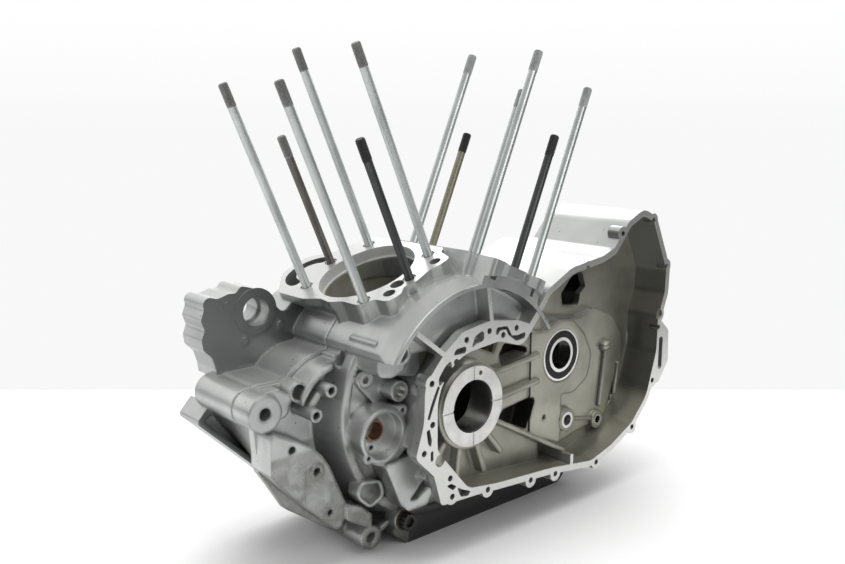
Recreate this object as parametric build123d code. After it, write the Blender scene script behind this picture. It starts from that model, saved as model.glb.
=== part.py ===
from build123d import *
import math
import os

# Crankcase of an air-cooled V-twin engine with the gearbox in the same castings, stripped of its
# moving parts. Two aluminium halves meet on an upright plane along the frame.
# X runs rearward, Y to the right-hand side of the engine and Z up. Lengths are millimetres.
# The origin is the crank axis at the thrust face of the left main bearing.

# General
seat_gap = 0.05
past = 1
reach = 400

# Cylinders
v_half_angle = 23.5
deck_height = 147.5
front_cylinder_y = 101
cylinder_offset = 35
spigot_radius = 52.8
spigot_depth = 13
throat_radius = 51.5
throat_start = 60
deck_depth = 62
deck_foot_radius = 137
deck_flange = 10
deck_headroom = 40
deck_hole_depth = 20

# Studs
long_half_u = 45.6
long_half_v = 49.2
short_u = 2.2
short_half_v = 66.2
long_stud_length = 225
short_stud_length = 149
long_shank_radius = 4.6
short_shank_radius = 4.4
stud_thread_radius = 5
stud_thread_length = 22
stud_depth = 24
stud_chamfer = 0.9
stud_recess_radius = 7
stud_recess_depth = 1.2

# Stations along the crank axis, from the left cover face to the right one
thrust_face = 0
cover_face = -6
rim_face = -7.5
pocket_floor = 12
chamber_wall = 25
gear_wall = 39
drum_face = 50
drum_valley = 53.5
crank_room_near = 58
plate_face = 61
front_wall_face = 87
split = 97
hump_end = 118
right_wall = 157
rear_end = 170
right_face = 197
wall = 8

# Crank chamber and its outer skin
crank_room_radius = 118
drum_wall = 12
drum_radius = crank_room_radius + drum_wall
drum_rim = 9
drum_flare = 12
skin_wall = 18
skin_radius = crank_room_radius + skin_wall
skin_shoulder = 10
skin_front = -115
skin_rear = 135
rim_inset = 1
rim_radius = drum_radius - rim_inset
rim_wall = 5
ledge_z = 66
ledge_step = 5.5

# Primary chamber
flange_width = 7.5
flange_boss_radius = 8.5
flange_thickness = 11
flange_boss_length = 16
flange_dowel_boss_radius = 10.5
flange_hole_radius = 3.2
flange_hole_depth = 14
band_setback = 9
front_boss_room = 54
slot_depth = 9
ear_slot_width = 8
ear_slot_length = 42
gearbox_front = 85
deep_front = 130
room_front = 140
room_setback = 2
web_thickness = 5
web_face = 6
rib_thickness = 6
rib_face = 12
rib_inner = 42
rib_outer = 88
brace_height = 7
plateau_face = 22
terrace_face = 30
chamber_pin_radius = 3
chamber_pin_depth = 8

# Main bearings
main_bore_radius = 28
main_bush_wall = 3
main_boss_radius = 46
thrust_outer_radius = 42.6
thrust_thickness = 3
oil_groove_width = 2.4
oil_groove_depth = 1
thrust_pin_radius = 2.5
thrust_pin_x = 9.5
thrust_pin_z = 34

# Main shaft bearing in the left gearbox wall
shaft_x = 164
shaft_z = 21
race_outer_radius = 31
race_bore_radius = 28.5
inner_race_outer_radius = 20.6
shaft_bore_radius = 16.7
shaft_bearing_width = 16
shaft_ball_radius = 4.6
shaft_ball_count = 9
ball_gap = 0.1
cage_half_wall = 1.2
cage_half_width = 5.5
seal_thickness = 1.5
seal_setback = 0.3

# Needle sleeves in the left gearbox wall
drive_x = 177
drive_z = -61
drive_sleeve_radius = 10
drive_bore_radius = 6.5
drive_boss_radius = 14
drum_x = 239
drum_z = -75
drum_sleeve_face = 24
drum_sleeve_radius = 7
drum_bore_radius = 4.5
drum_boss_radius = 11
sleeve_length = 14

# Front mount tube and lobe
tube_x = -206
tube_z = 20.5
tube_radius = 18
tube_far_radius = 18.6
tube_near = 66
tube_far = 169
tube_hole_radius = 6.3
tube_sleeve_radius = 9
tube_nut_radius = 14
tube_web_face = 72
lobe_x = -116
lobe_z = -2
lobe_radius = 59
lobe_step = 4
lobe_rim_wall = 5
lobe_rim_face = 64

# Bosses of the front face
socket_x = -166
socket_z = 33
socket_radius = 10
socket_bore = 7.5
socket_face = 70
socket_depth = 16
pillar_radius = 6.5
pillar_face = 51
pillar_web = 7
plate_pad_radius = 8
plate_pad_height = 1.2
plate_hole_x = -138.5
plate_hole_z = -95.5
plate_hole_radius = 3.3
plate_hole_depth = 14
plate_seam_x = -167.5
plate_seam_width = 0.8
plate_seam_z = (-79, -45)
corner_boss_x = -94.5
corner_boss_z = 71.5
corner_boss_radius = 11
corner_boss_bore = 8
corner_boss_face = 2
corner_boss_depth = 18
shoulder_face = 20
beam_face = 14
beam_end = 64
notch_end = 74
pit_face = 44
pit_wall = 3
pit_depth = 11
panel_face = 26
wedge_depth = 9

# Pump housing
pump_x = -97
pump_z = -15.5
pump_radius = 28
pump_face = 26
pump_lip_x = -90
pump_lip_z = -18
pump_lip_radius = 31
pump_lip_step = 5
pump_ear_radius = 5.5
pump_ear_hole = 2.3
pump_ear_length = 12
pump_well_radius = 23.5
pump_well_depth = 11
pump_drill_x = -105
pump_drill_z = -29
pump_drill_radius = 2.4
pump_bush_x = -102.5
pump_bush_z = -11
pump_bush_radius = 10.8
pump_bore_radius = 9
pump_bush_length = 12
pump_bush_proud = 3

# Plugs
gallery_plug_x = -104
gallery_plug_z = 38
gallery_plug_face = 46
gallery_plug_radius = 7
gallery_boss_radius = 9.5
gallery_socket = 7
gallery_pad_face = 47
core_plug_x = -76
core_plug_z = 25.5
core_plug_face = 27
core_plug_radius = 8.5
core_plug_rim = 2.4
core_boss_radius = 10.5
plug_length = 8
socket_share = 0.6

# Sump, drain and strainer
sump_bottom = -155
sump_near = 52
sump_far = 150
drain_x = -57
drain_z = -122
drain_face = 44
drain_boss_radius = 12
drain_head_radius = 9.5
drain_hexagon = 10
drain_head_height = 8
drain_flute_count = 12
drain_flute_radius = 1.6
drain_thread_radius = 6
drain_thread_length = 14
drain_washer_radius = 11
drain_washer_thickness = 1.6
mount_boss_x = -91
mount_boss_z = -136
mount_boss_face = 56
mount_boss_radius = 12.5
mount_boss_hole = 6
strut_thickness = 5
strut_length = 8
strainer_x = 60
strainer_y = 124
strainer_radius = 21
strainer_hole_radius = 12
strainer_thickness = 3
strainer_recess = 6
strainer_boss_height = 10
strainer_boss_wall = 3
strainer_gap = 0.3
strainer_screw_radius = 2
strainer_screw_head = 3.4
strainer_screw_count = 4
strainer_screw_length = 8
strainer_pitch_radius = 16.5

# Right-hand side
front_block_x = -159
front_block_z = 97
front_block_radius = 24.5
front_block_bore = 15
front_block_throat = 12.8
front_block_bore_length = 18
front_block_ring = 1
front_block_pad_radius = 4.5
front_block_pads = [(-190.4, 107), (-172, 67.5), (-129.5, 78.5)]
rail_pocket_depth = 22
stator_room_radius = 104
stator_floor = 163
right_boss_near = 129
right_boss_face = 176
right_bearing_near = 175
right_shaft_places = [(shaft_x, shaft_z), (drive_x, drive_z)]
mount_sleeve_length = 20

# Bolts and dowels between the halves
bolt_radius = 4
bolt_across_flats = 12
bolt_flange_radius = 8.5
bolt_flange_height = 1.5
bolt_head_height = 8
bolt_engagement = 22
bolt_thread_relief = 4
bolt_head_room = 1.5
bolt_gap = 0.3
dowel_outer_radius = 6.4
dowel_bore_radius = 4.2
dowel_length = 14
cover_dowel_depth = 3
case_dowel_length = 16

pillar_places = [(-141, 33.5), (-159, 12.5)]
plate_bolt_places = [(-153.7, -47.8), (-181, -19.5)]
rear_bolt_places = [(104, 78), (120, -64)]
bolt_places = pillar_places + plate_bolt_places + rear_bolt_places
case_dowel_places = [(-186, 20), (-116, -112)]


def slab(face, near, far):
    """A flat outline carried along the crank axis between two stations."""
    return extrude(Plane.XZ.offset(-far) * face, amount=far - near, dir=(0, -1, 0))


def outline(corners):
    """A closed outline from (x, z, corner radius) entries."""
    points = [(x, z) for x, z, radius in corners]
    radii = [radius for x, z, radius in corners]
    return make_face(FilletPolyline(*points, radius=radii, close=True))


def disc(x, z, radius):
    return Pos(x, z) * Circle(radius)


def rod(x, z, radius, near, far):
    return slab(disc(x, z, radius), near, far)


def ring(x, z, radius, bore, near, far):
    return slab(disc(x, z, radius) - disc(x, z, bore), near, far)


def block(x_range, z_range, near, far):
    """A box given by its limits along X and Z and two stations."""
    width, height = x_range[1] - x_range[0], z_range[1] - z_range[0]
    centre = Pos((x_range[0] + x_range[1]) / 2, (z_range[0] + z_range[1]) / 2)
    return slab(centre * Rectangle(width, height), near, far)


def behind(x):
    """A sheet that covers all places to the rear of a station along X."""
    return Pos((x + reach) / 2, 0) * Rectangle(reach - x, 2 * reach)


def joined(bodies):
    """One solid from bodies that overlap or touch."""
    return bodies[0].fuse(*bodies[1:])


def cylinder_plane(side, distance=0):
    """Plane across a cylinder, u rearward and v to the right; side is -1 in front, 1 behind."""
    tilt = math.radians(v_half_angle)
    y = front_cylinder_y if side < 0 else front_cylinder_y - cylinder_offset
    along = (math.cos(tilt), 0, -side * math.sin(tilt))
    up = (side * math.sin(tilt), 0, math.cos(tilt))
    return Plane(origin=(0, y, 0), x_dir=along, z_dir=up).offset(distance)


# Outlines as (x, z, corner radius), seen along the crank axis
chamber_corners = [
    (-55.5, -32, 14), (-55.5, 57, 54), (30, 65, 30), (66, 54, 14), (90, 80, 10), (110, 104, 12),
    (147, 122, 24), (200, 129, 16), (224, 137, 12), (250, 166, 14), (275, 177, 14), (296, 168, 12),
    (327, 106, 14), (326, 78, 20), (314, 48, 20), (314, 6, 30), (296, -50, 40), (268, -78, 20),
    (228, -97, 30), (190, -107, 30), (120, -97, 60), (30, -90, 60), (-12, -84, 20), (-46, -44, 14),
]
band_corners = [
    (-60, -58, 6), (-84, -34, 8), (-73, 0, 60), (-72, 38, 30), (-46, 66, 20), (-22, 83, 20),
    (16, 89, 60), (58, 83, 20), (88, 72, 5), (88, 0, 5), (60, -98, 10), (-50, -92, 6),
]
flange_holes = [
    (103.5, 92), (-63, 38), (-73, -31), (-35, -86.5), (16.5, -93.7), (84, -102), (125.6, -106),
    (200, -111.5), (269, -84), (308, -32), (316, 35), (327, 111), (295, 170), (235, 159), (172, 125),
]
band_holes = [(56, 75), (36, 70.6), (15.6, 78), (-16.7, 74), (-30.6, 54), (-62, -4), (-38, -66)]
cover_dowel_places = [(-52, -43.5), (315.6, 51.8)]
rear_corners = [
    (90, 60, 10), (120, 104, 20), (219, 138, 6), (300, 132, 20), (330, 60, 30), (318, -20, 40),
    (280, -76, 30), (190, -106, 30), (90, -100, 20),
]
right_corners = [
    (-230, -7, 5), (-204, 22, 12), (-206, 44, 8), (-210, 57, 6), (-219, 66, 5), (-220.5, 76, 5),
    (-216.5, 86, 7), (-220.5, 96, 6), (-216.5, 106, 6), (-219, 120.5, 7), (-201, 115.5, 8),
    (-189, 119, 6), (-181, 118.5, 5), (-175, 125.5, 6), (-150, 118, 12), (-135, 100, 6),
    (-126.5, 90.5, 6), (-112, 104, 6), (-60, 130, 30),
    (0, 136, 60), (62, 130, 30), (120, 104, 40), (196, 96, 40), (240, 50, 50), (236, -40, 50),
    (170, -110, 40), (60, -126, 60), (-80, -130, 40), (-146, -88, 14),
]
front_corners = [
    (-206, 40, 12), (-150, 40, 8), (-110, 50, 10), (-60, 50, 5), (-60, -100, 5), (-86, -150, 6),
    (-121, -128, 10), (-174, -90, 10), (-190, -64, 6), (-203, -44, 5), (-207, 0, 6),
]
front_right_corners = [
    (-206, 40, 12), (-150, 40, 8), (-110, 50, 10), (-60, 50, 5), (-60, -120, 5), (-121, -128, 10),
    (-160, -74, 10), (-207, 2, 6),
]
front_plate_corners = [
    (-204, 3, 5), (-178, -10, 12), (-158, -22, 10), (-147, -33, 10), (-138, -47, 12), (-122, -84, 12),
    (-116, -96, 6), (-128, -119, 5), (-168, -81, 8), (-195, -52, 6), (-205, -40, 5),
]
tube_web_corners = [(-206, 38, 3), (-186, 39.5, 4), (-172, 30, 6), (-178, 12, 6), (-206, 2, 2)]
mount_web_corners = [(-121, -90, 3), (-104, -97, 3), (-90, -110, 3), (-90, -127, 2), (-121, -108, 3)]
panel_corners = [
    (-96, -47, 4), (-62, -45, 4), (-42, -72, 6), (-33, -91, 4), (-41, -104, 4), (-66, -104, 4),
    (-76, -94, 5),
]
wedge_corners = [(-46, -75, 2), (-37, -81, 2), (-54, -94, 2), (-65, -93, 1.5)]
pit_corners = [(-112, -68, 6), (-90, -72, 6), (-85, -87, 6), (-101, -93, 6), (-114, -80, 6)]
shoulder_corners = [(-112, 82, 3), (-78, 86, 3), (-44, 62, 3), (-62, 40, 5), (-88, 46, 5), (-112, 52, 4)]
beam_corners = [(-113, 66, 2), (-113, 49, 7), (-97, 46, 6), (-80, 50, 2), (-80, 66, 2)]
step_corners = [(-121, 60.5, 2), (-121, 48, 2), (-104, 48, 2), (-104, 60.5, 1)]
gallery_pad_corners = [(-106, 46, 4), (-78, 37, 3), (-70, 12, 3), (-90, 8, 3), (-110, 30, 3)]
rail_pocket_corners = [(-222, -6, 2), (-208, 1, 3), (-163, -60, 4), (-153, -67, 1), (-157, -70.5, 1)]
ear_corners = [(300, 44, 4), (322, 42, 6), (338, 28, 8), (340, -12, 10), (322, -36, 6), (300, -40, 4)]
sump_corners = [
    (-62, -95, 5), (-64, sump_bottom + 14, 8), (-46, sump_bottom, 6), (205, sump_bottom, 20),
    (226, -118, 10), (226, -90, 5),
]
plateau_corners = [
    (112, 58, 4), (131, 54, 10), (144, 56, 10), (162, 63, 10), (184, 60, 12), (206, 40, 22),
    (220, 14, 20), (214, -16, 20), (186, -30, 12), (166, -27, 4), (166, -88, 4), (112, -64, 4),
]
terrace_corners = [
    (130, 56, 5), (164, 63, 10), (204, 58, 10), (231, 66, 12), (268, 50, 20), (290, 26, 14),
    (292, -16, 12), (274, -36, 12), (262, -74, 8), (166, -92, 4), (130, -60, 4),
]

# Cylinder seat of the front cylinder as (u, v, corner radius); the rear one is its mirror image
seat_corners = [
    (-55, -50, 8), (-41, -61, 5), (-39, -80, 8), (-24, -82, 8), (-12, -74, 6), (-2, -80, 8),
    (22, -77, 8), (33, -81, 8), (47, -81, 7), (54, -60, 5), (62, -58, 6), (62, 60, 10), (20, 84, 10),
    (2, 112, 12), (-34, 112, 18), (-66, 76, 18), (-66, 30, 20), (-59, 6, 6), (-61, -10, 8), (-55, -25, 10),
]
deck_holes = [(-11, -62, 7.4), (-27, -67.5, 6.4), (36.5, -69, 6)]
undercut_range = (-12, 130)
undercut_u = -53
pushrod_arc = [(-45, 72), (-22, 97), (3, 81)]
pushrod_width = 13
pushrod_depth = 38

# Ribs, webs and small places as (x, z)
skin_ribs = [((13, 128), (20, 82)), ((-82, 91), (-44, 62))]
web_ends = [(40, -26), (156, -89.5)]
web_foot_ends = [(154, -90), (154, -106)]
rib_angles = [-128, -98, -70, -50]
brace_ends = [((40, 21), (122, 29)), ((44, -9), (122, -1))]
rear_bars = [((234, -16), (234, -60), 20), ((277, -16), (277, -60), 6)]
chamber_pin_x = 136
chamber_pin_z = -49
ear_slot_place = (322.5, 1)
pump_ear_places = [(-73, 5.6), (-116.4, -34.4)]
notch_x = (-130, -108)
notch_z = (50, 64)

# Windows and slots
window_places = [
    [(70, 50, 4), (97, 43, 4), (108, 39, 3), (107, 32, 4), (65, 26, 4), (62, 38, 6)],
    [(122, -19, 5), (71, -25, 5), (62, -33, 4), (70, -42, 3), (108, -59, 3), (114, -39, 20)],
]
upper_window_corners = [
    (214, 111, 5), (199, 107, 10), (180, 88, 6), (184, 74, 4), (213, 71, 4), (216, 84, 5), (226, 92, 4),
    (219, 109, 4),
]
slot_corners = [
    [(-38, 57, 2), (-36, 47, 4), (-43, 39, 5), (-54, 33, 1.5), (-54, 42, 4), (-46, 52, 3)],
    [(-35, 61, 1.5), (-31, 67, 4), (-16, 68, 3), (-18, 61, 2.5)],
    [(-10, 64, 1.2), (-5, 76, 4), (8, 81, 3.5), (8, 69, 4), (-2, 68, 3)],
    [(25, 73, 2), (26, 80, 3), (42, 79.5, 5), (49, 68, 4), (58, 67, 3), (71, 69, 2.5), (69, 62, 3),
     (56, 61, 4), (44, 69, 4), (40, 76, 2), (32, 76, 2), (28, 72, 1.5)],
    [(-52.5, 33, 1), (-55.5, 34, 1), (-64, 17, 8), (-69, 3, 1), (-66, 2, 1), (-61, 14, 8)],
    [(-66, -7, 1.5), (-70, -9, 2), (-68, -22, 5), (-64.5, -27, 1), (-63, -20, 3)],
    [(-61, -31, 1), (-64.5, -31, 1.5), (-64.5, -42, 1.5), (-61, -41, 1)],
    [(-43, -73, 1), (-37, -72, 1.5), (-29, -77, 1), (-34, -80, 2)],
    [(-29, -78, 1), (-22, -82, 3), (-9, -88, 1), (-13, -92, 1.5), (-23, -90, 3)],
]


def chamber_face():
    return outline(chamber_corners)


def shell_face():
    return offset(chamber_face(), amount=flange_width)


def flange_bosses():
    dowel_boss = disc(*cover_dowel_places[1], flange_dowel_boss_radius)
    return [disc(x, z, flange_boss_radius) for x, z in flange_holes] + [dowel_boss]


def band_root():
    """The band of the cover face narrows behind its flange."""
    return offset(outline(band_corners), amount=-band_setback)


def skin_body():
    """Rounded outer skin of the crank chamber with the sunk pocket behind its rim."""
    profile = FilletPolyline(
        (0, rim_face), (rim_radius, rim_face), (skin_radius, skin_shoulder),
        (skin_radius, right_wall), (0, right_wall), radius=[3, 6, 0], close=False)
    face = make_face([*profile.edges(), Edge.make_line((0, right_wall), (0, rim_face))])
    upper = block((skin_front, skin_rear), (ledge_z, reach), rim_face - past, right_wall + past)
    pocket = rod(0, 0, rim_radius - rim_wall, rim_face - past, pocket_floor)
    ribs = [bar(start, end, web_thickness, cover_face, pocket_floor + past) for start, end in skin_ribs]
    return (revolve(face, axis=Axis.Y) & upper) - pocket + ribs


def seat_face(side):
    """Outline of a cylinder seat in its own plane."""
    return outline([(-side * u, v, radius) for u, v, radius in seat_corners])


def deck_body(side):
    """Cylinder seat block; its foot stops at the skin and keeps clear of the sunk pocket."""
    seat = extrude(cylinder_plane(side, deck_height) * seat_face(side), amount=-deck_depth)
    foot = rod(0, 0, deck_foot_radius, rim_face - 2 * deck_depth, rim_face)
    pocket = rod(0, 0, rim_radius - rim_wall, rim_face - 2 * deck_depth, pocket_floor)
    return seat - foot - pocket


def seat_flange_cut():
    """Set-back of the front cylinder's front wall under its flange."""
    low, high = undercut_range
    strip = Pos(undercut_u - reach / 2, (low + high) / 2) * Rectangle(reach, high - low)
    under = cylinder_plane(-1, deck_height - deck_flange)
    return extrude(under * strip, amount=-(deck_depth - deck_flange))


def drum_body():
    """Crank chamber wall with a raised rim on its left face and a flare down to the front wall."""
    flare = make_face(Polyline((drum_radius - drum_rim, drum_face + past), (drum_radius, drum_face + past),
                               (drum_radius + drum_flare, front_wall_face + past),
                               (drum_radius - drum_rim, front_wall_face + past), close=True))
    front = block((tube_x, -lobe_radius), (drain_z, tube_z), 0, split)
    return [
        rod(0, 0, drum_radius, drum_valley, right_wall),
        ring(0, 0, drum_radius, drum_radius - drum_rim, drum_face, drum_valley + past),
        revolve(flare, axis=Axis.Y) & front,
    ]


def front_body():
    """Front wall with its plate, tube, lobe and bosses."""
    lobe_rim = ring(lobe_x, lobe_z, lobe_radius, lobe_radius - lobe_rim_wall, lobe_rim_face, split)
    rim_part = block((socket_x, gallery_plug_x), (tube_z, reach), lobe_rim_face, split)
    pillars = [rod(x, z, pillar_radius, pillar_face, split) for x, z in pillar_places]
    pad = rod(*plate_bolt_places[0], plate_pad_radius, plate_face - plate_pad_height, split)
    seam = block((plate_seam_x, plate_seam_x + plate_seam_width), plate_seam_z,
                 plate_face - plate_seam_width, split)
    return [
        slab(outline(front_corners), front_wall_face, split),
        slab(outline(front_plate_corners), plate_face, split),
        slab(outline(front_right_corners), split, right_wall),
        slab(outline(tube_web_corners), tube_web_face, split),
        rod(lobe_x, lobe_z, lobe_radius + lobe_step, split, right_wall),
        lobe_rim & rim_part,
        rod(tube_x, tube_z, tube_radius, tube_near, split),
        rod(tube_x, tube_z, tube_far_radius, split, tube_far),
        rod(socket_x, socket_z, socket_radius, socket_face, split),
        bar(*pillar_places, pillar_web, tube_near, split),
        slab(outline(mount_web_corners), mount_boss_face, split),
        rod(mount_boss_x, mount_boss_z, mount_boss_radius, mount_boss_face, right_wall),
        seam, pad, *pillars,
    ]


def pump_body():
    """Pump housing with its screw ears, the plug bosses and the panel below it."""
    ears = [rod(x, z, pump_ear_radius, pump_face, pump_face + pump_ear_length) for x, z in pump_ear_places]
    pit = slab(offset(outline(pit_corners), amount=pit_wall), pit_face, plate_face)
    return [
        rod(pump_x, pump_z, pump_radius, pump_face, plate_face),
        rod(pump_lip_x, pump_lip_z, pump_lip_radius, pump_face + pump_lip_step, plate_face),
        rod(gallery_plug_x, gallery_plug_z, gallery_boss_radius, gallery_plug_face, split),
        rod(core_plug_x, core_plug_z, core_boss_radius, core_plug_face, plate_face),
        slab(outline(gallery_pad_corners), gallery_pad_face, plate_face),
        slab(outline(panel_corners), panel_face, plate_face),
        rod(drain_x, drain_z, drain_boss_radius, drain_face, plate_face),
        bar((mount_boss_x + mount_boss_radius, mount_boss_z + strut_thickness), (drain_x, drain_z),
            strut_thickness, mount_boss_face, mount_boss_face + strut_length),
        pit, *ears,
    ]


def shoulder_body():
    """Stepped wall under the sunk pocket's lower end."""
    return [
        slab(outline(shoulder_corners), shoulder_face, plate_face),
        slab(outline(beam_corners), beam_face, beam_end),
        slab(outline(step_corners), notch_end, right_wall),
        rod(corner_boss_x, corner_boss_z, corner_boss_radius, corner_boss_face, plate_face),
    ]


def case_body():
    """The outside of both halves as one solid."""
    bosses = [slab(spot, cover_face, cover_face + flange_boss_length) for spot in flange_bosses()]
    flange = shell_face() + outline(band_corners) + outline(ear_corners)
    block_face = disc(front_block_x, front_block_z, front_block_radius)
    pads = [rod(x, z, front_block_pad_radius, right_wall - front_block_ring, right_wall + past)
            for x, z in front_block_pads]
    return joined([
        skin_body(),
        *drum_body(),
        slab(flange, cover_face, cover_face + flange_thickness),
        slab(shell_face() + band_root(), cover_face, drum_valley + past),
        *bosses,
        slab(shell_face() & behind(gearbox_front), cover_face, hump_end),
        slab(outline(rear_corners), hump_end, rear_end),
        slab(outline(sump_corners), sump_near, sump_far),
        *front_body(),
        *pump_body(),
        *shoulder_body(),
        slab(outline(right_corners) + block_face, right_wall, right_face),
        slab(block_face, right_wall - front_block_ring, right_wall + past),
        *pads,
        deck_body(-1) - seat_flange_cut(),
        deck_body(1),
    ])


def case_room():
    """The hollow that both halves enclose."""
    inner = offset(chamber_face(), amount=-room_setback) & behind(room_front)
    back = offset(outline(rear_corners), amount=-wall) & behind(room_front)
    throats = [extrude(cylinder_plane(side, throat_start) * Circle(throat_radius),
                       amount=deck_height - throat_start - spigot_depth + past) for side in (-1, 1)]
    spigots = [extrude(cylinder_plane(side, deck_height - spigot_depth) * Circle(spigot_radius),
                       amount=spigot_depth + deck_headroom) for side in (-1, 1)]
    headroom = [extrude(cylinder_plane(side, deck_height) * seat_face(side), amount=deck_headroom)
                for side in (-1, 1)]
    return joined([
        rod(0, 0, crank_room_radius, crank_room_near, right_wall - wall),
        rod(0, 0, front_boss_room, chamber_wall + wall, crank_room_near + past),
        slab(inner, gear_wall + wall, hump_end - wall),
        slab(back, hump_end - wall - past, rear_end - wall),
        slab(offset(outline(sump_corners), amount=-wall), sump_near + wall, sump_far - wall),
        *throats, *spigots, *headroom,
    ])


def primary_room():
    """The primary chamber on the left, deeper behind the gearbox shafts."""
    front = slab(chamber_face(), cover_face - past, chamber_wall)
    room = front + slab(chamber_face() & behind(deep_front), chamber_wall - past, gear_wall)
    plateau = slab(outline(plateau_corners), plateau_face, gear_wall + past)
    terrace = slab(outline(terrace_corners), terrace_face, gear_wall + past)
    return room - (plateau + terrace)


def bar(start, end, thickness, near, far):
    """A straight upright wall between two points of the view along the crank axis."""
    length = math.dist(start, end)
    turn = math.degrees(math.atan2(end[1] - start[1], end[0] - start[0]))
    middle = Pos((start[0] + end[0]) / 2, (start[1] + end[1]) / 2)
    return slab(middle * Rot(0, 0, turn) * Rectangle(length, thickness), near, far)


def chamber_details():
    """Boss, ribs and bosses that stand in the primary chamber."""
    boss = rod(0, 0, main_boss_radius, thrust_face + thrust_thickness, chamber_wall + wall)
    web = bar(*web_ends, web_thickness, web_face, gear_wall + wall)
    web_foot = bar(*web_foot_ends, web_thickness, cover_face, gear_wall + wall)
    ribs = []
    for angle in rib_angles:
        along = math.radians(angle)
        inner = (rib_inner * math.cos(along), rib_inner * math.sin(along))
        outer = (rib_outer * math.cos(along), rib_outer * math.sin(along))
        ribs.append(bar(inner, outer, rib_thickness, rib_face, chamber_wall + past))
    braces = [bar(start, end, rib_thickness, chamber_wall - brace_height, chamber_wall + past)
              for start, end in brace_ends]
    bars = [bar(start, end, thickness, gear_wall - brace_height, gear_wall + past)
            for start, end, thickness in rear_bars]
    drive = rod(drive_x, drive_z, drive_boss_radius, plateau_face - past, gear_wall + wall)
    drum = rod(drum_x, drum_z, drum_boss_radius, drum_sleeve_face, gear_wall + wall)
    return [boss, web, web_foot, *ribs, *braces, *bars, drive, drum]


def flange_cuts():
    """Screw holes, dowel recesses, the oblong slot and the labyrinth slots of the cover face."""
    depth = cover_face + flange_hole_depth
    holes = [rod(x, z, flange_hole_radius, cover_face - past, depth) for x, z in flange_holes + band_holes]
    dowels = [rod(x, z, dowel_outer_radius, cover_face - past, cover_face + cover_dowel_depth)
              for x, z in cover_dowel_places]
    slots = [slab(outline(corners), cover_face - past, cover_face + slot_depth) for corners in slot_corners]
    ear = Pos(*ear_slot_place) * Rot(0, 0, 90) * SlotOverall(ear_slot_length, ear_slot_width)
    return holes + dowels + slots + [slab(ear, cover_face - past, cover_face + flange_boss_length)]


def left_cuts():
    deep = gear_wall + wall + past
    windows = [slab(outline(corners), chamber_wall - wall, chamber_wall + 3 * wall)
               for corners in window_places]
    windows.append(slab(outline(upper_window_corners), plateau_face, deep))
    well_floor = pump_face + pump_well_depth
    bolts = [rod(x, z, bolt_radius, pillar_face - past, split + past)
             for x, z in pillar_places + plate_bolt_places]
    ears = [rod(x, z, pump_ear_hole, pump_face - past, pump_face + pump_ear_length)
            for x, z in pump_ear_places]
    bores = [
        rod(0, 0, main_bore_radius + main_bush_wall, thrust_face, crank_room_near + past),
        rod(shaft_x, shaft_z, race_outer_radius, plateau_face - past, plateau_face + shaft_bearing_width),
        rod(shaft_x, shaft_z, race_bore_radius, plateau_face, deep),
        rod(drive_x, drive_z, drive_sleeve_radius, plateau_face - 2 * past, deep),
        rod(drum_x, drum_z, drum_sleeve_radius, drum_sleeve_face - past, deep),
        rod(chamber_pin_x, chamber_pin_z, chamber_pin_radius,
            plateau_face, plateau_face + chamber_pin_depth),
        rod(tube_x, tube_z, tube_hole_radius, tube_near - past, tube_far),
        rod(socket_x, socket_z, socket_bore, socket_face - past, socket_face + socket_depth),
        rod(corner_boss_x, corner_boss_z, corner_boss_bore, corner_boss_face - past,
            corner_boss_face + corner_boss_depth),
        block(notch_x, notch_z, beam_end, notch_end),
        rod(plate_hole_x, plate_hole_z, plate_hole_radius, plate_face - past, plate_face + plate_hole_depth),
        slab(outline(pit_corners), pit_face - past, pit_face + pit_depth),
        slab(outline(wedge_corners), panel_face - past, panel_face + wedge_depth),
        rod(pump_x, pump_z, pump_well_radius, pump_face - past, well_floor),
        rod(pump_drill_x, pump_drill_z, pump_drill_radius, pump_face, well_floor + pump_bush_length),
        rod(pump_bush_x, pump_bush_z, pump_bush_radius, pump_face, well_floor + pump_bush_length),
        rod(gallery_plug_x, gallery_plug_z, gallery_plug_radius, gallery_plug_face - past,
            gallery_plug_face + plug_length),
        rod(core_plug_x, core_plug_z, core_plug_radius, core_plug_face - past, core_plug_face + plug_length),
        rod(drain_x, drain_z, drain_thread_radius,
            drain_face - past, drain_face + drain_thread_length + past),
        rod(mount_boss_x, mount_boss_z, mount_boss_hole, mount_boss_face - past, right_wall + past),
    ]
    return windows + bores + bolts + ears


def stud_places(side, kind):
    """Centres of a cylinder's studs in the seat's own axes."""
    if kind == "long":
        return [(u * long_half_u, v * long_half_v) for u in (-1, 1) for v in (-1, 1)]
    return [(-side * short_u, v * short_half_v) for v in (-1, 1)]


def seat_holes():
    """Stud holes with their recesses, the round holes and the tappet pocket of both cylinder seats."""
    holes = []
    for side in (-1, 1):
        seat = cylinder_plane(side, deck_height)
        for u, v in stud_places(side, "long") + stud_places(side, "short"):
            holes.append(extrude(seat * (Pos(u, v) * Circle(stud_thread_radius)), amount=-stud_depth))
            holes.append(extrude(seat * (Pos(u, v) * Circle(stud_recess_radius)), amount=-stud_recess_depth))
        for u, v, radius in deck_holes:
            holes.append(extrude(seat * (Pos(-side * u, v) * Circle(radius)), amount=-deck_hole_depth))
        pushrod = SlotArc(ThreePointArc(*[(-side * u, v) for u, v in pushrod_arc]), pushrod_width)
        holes.append(extrude(seat * pushrod, amount=-pushrod_depth))
    return holes


def bolt_seat():
    """Station where the flanges of the case bolts bear, sunk below the right-hand face."""
    return right_face - bolt_head_height - bolt_head_room


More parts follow.
